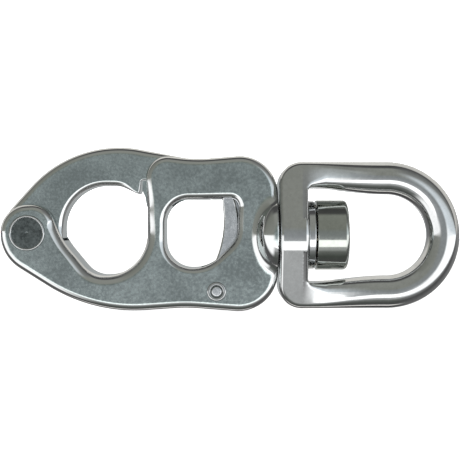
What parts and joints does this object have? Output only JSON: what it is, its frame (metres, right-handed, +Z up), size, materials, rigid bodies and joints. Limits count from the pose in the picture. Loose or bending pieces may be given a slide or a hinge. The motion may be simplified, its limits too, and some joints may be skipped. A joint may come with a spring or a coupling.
{
  "type": "snap shackle",
  "caption": "Stainless trigger-release snap shackle: a hinged jaw latches over a saddle, a finger-hole lever frees it under load, and a D-shaped bail turns on a ball-bearing swivel.",
  "frame": {"origin": "centre of the closed shackle's bounding box; the load line, which is also the swivel's axis, runs parallel to X at Z = -1.9 mm", "axes": "+X along the load line from the jaw's pivot to the bail's crown, +Z up the flat of the shackle towards the jaw's back, Y through its thickness"},
  "size_m": [0.1702, 0.0336, 0.0605],
  "materials": {
    "satin_steel": "tumbled satin stainless steel with polished edges",
    "polished_steel": "mirror-polished stainless steel",
    "trigger_steel": "fine-ground stainless steel",
    "pin_steel": "turned stainless steel, dark",
    "spring_steel": "drawn stainless wire and ground pins",
    "bearing_steel": "ground and polished bearing steel",
    "bush_bronze": "machined bronze",
    "cage_brass": "machined brass"
  },
  "bodies": {
    "body": {"body": "satin_steel", "jaw_pivot_pin": "pin_steel", "trigger_pivot_pin": "trigger_steel", "trigger_spring": "spring_steel", "swivel_bolt": "polished_steel", "bolt_lock_pin": "spring_steel", "upper_bearing_race": "bearing_steel"},
    "jaw": {"jaw": "satin_steel"},
    "trigger": {"trigger_lever": "trigger_steel"},
    "plunger": {"trigger_plunger": "spring_steel"},
    "bail": {"bail": "polished_steel", "bail_bushing": "bush_bronze", "thrust_washer": "bearing_steel", "lower_bearing_race": "bearing_steel"},
    "ball_set": {"ball_cage": "cage_brass", "bearing_ball_01": "bearing_steel", "bearing_ball_02": "bearing_steel", "bearing_ball_03": "bearing_steel", "bearing_ball_04": "bearing_steel", "bearing_ball_05": "bearing_steel", "bearing_ball_06": "bearing_steel", "bearing_ball_07": "bearing_steel", "bearing_ball_08": "bearing_steel", "bearing_ball_09": "bearing_steel", "bearing_ball_10": "bearing_steel", "bearing_ball_11": "bearing_steel", "bearing_ball_12": "bearing_steel"}
  },
  "joints": [
    {"name": "jaw_pivot", "type": "hinge", "parent": "body", "child": "jaw", "pos_m": [-0.0749, 0, -0.0011], "axis": [0, -1, 0], "range_deg": [0, 105]},
    {"name": "trigger_pivot", "type": "hinge", "parent": "body", "child": "trigger", "pos_m": [-0.0057, 0, -0.0225], "axis": [0, 1, 0], "range_deg": [0, 7], "stiffness_Nm_per_rad": 0.8, "springref_deg": -11.46},
    {"name": "plunger_slide", "type": "slide", "parent": "body", "child": "plunger", "axis": [1, 0, 0], "range_m": [0, 0.0027], "deforming": ["trigger_spring"]},
    {"name": "bail_swivel", "type": "hinge", "parent": "body", "child": "bail", "pos_m": [0.0221, 0, -0.0019], "axis": [1, 0, 0], "continuous": true},
    {"name": "ball_orbit", "type": "hinge", "parent": "body", "child": "ball_set", "pos_m": [0.0319, 0, -0.0019], "axis": [1, 0, 0], "continuous": true}
  ],
  "couplings": [
    {"joint": "plunger_slide", "follows": "trigger_pivot", "m_per_rad": 0.0206},
    {"joint": "ball_orbit", "follows": "bail_swivel", "ratio": 0.5}
  ]
}
